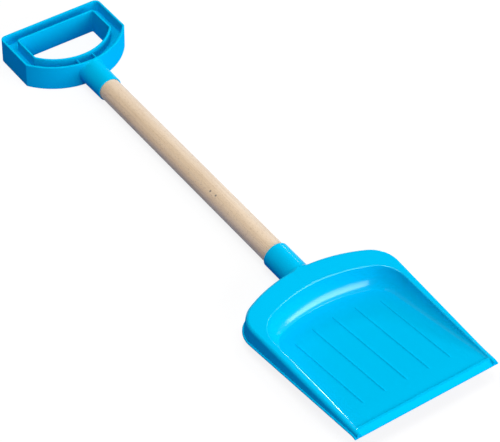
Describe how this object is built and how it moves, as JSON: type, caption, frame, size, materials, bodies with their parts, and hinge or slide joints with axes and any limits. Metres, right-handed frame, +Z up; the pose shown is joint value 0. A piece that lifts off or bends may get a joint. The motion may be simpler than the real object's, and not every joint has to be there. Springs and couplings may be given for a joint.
{
  "type": "sand shovel",
  "caption": "Child's sand shovel with a moulded blue tray blade, a straight beech shaft set in sockets and an open D-shaped hand grip.",
  "frame": {"origin": "on the ground, under the middle of the shovel's box as it lies face up on its grip and the blade's socket", "axes": "+Y along the shaft from the blade to the grip, +X to the right, +Z up"},
  "size_m": [0.158, 0.5848, 0.0258],
  "materials": {
    "blue_plastic": "glossy moulded polypropylene",
    "beech": "sanded, unvarnished beech",
    "screw_steel": "zinc-plated steel"
  },
  "bodies": {
    "root": {"blade": "blue_plastic", "shaft": "beech", "d_grip": "blue_plastic", "socket_screws": "screw_steel"}
  },
  "joints": []
}
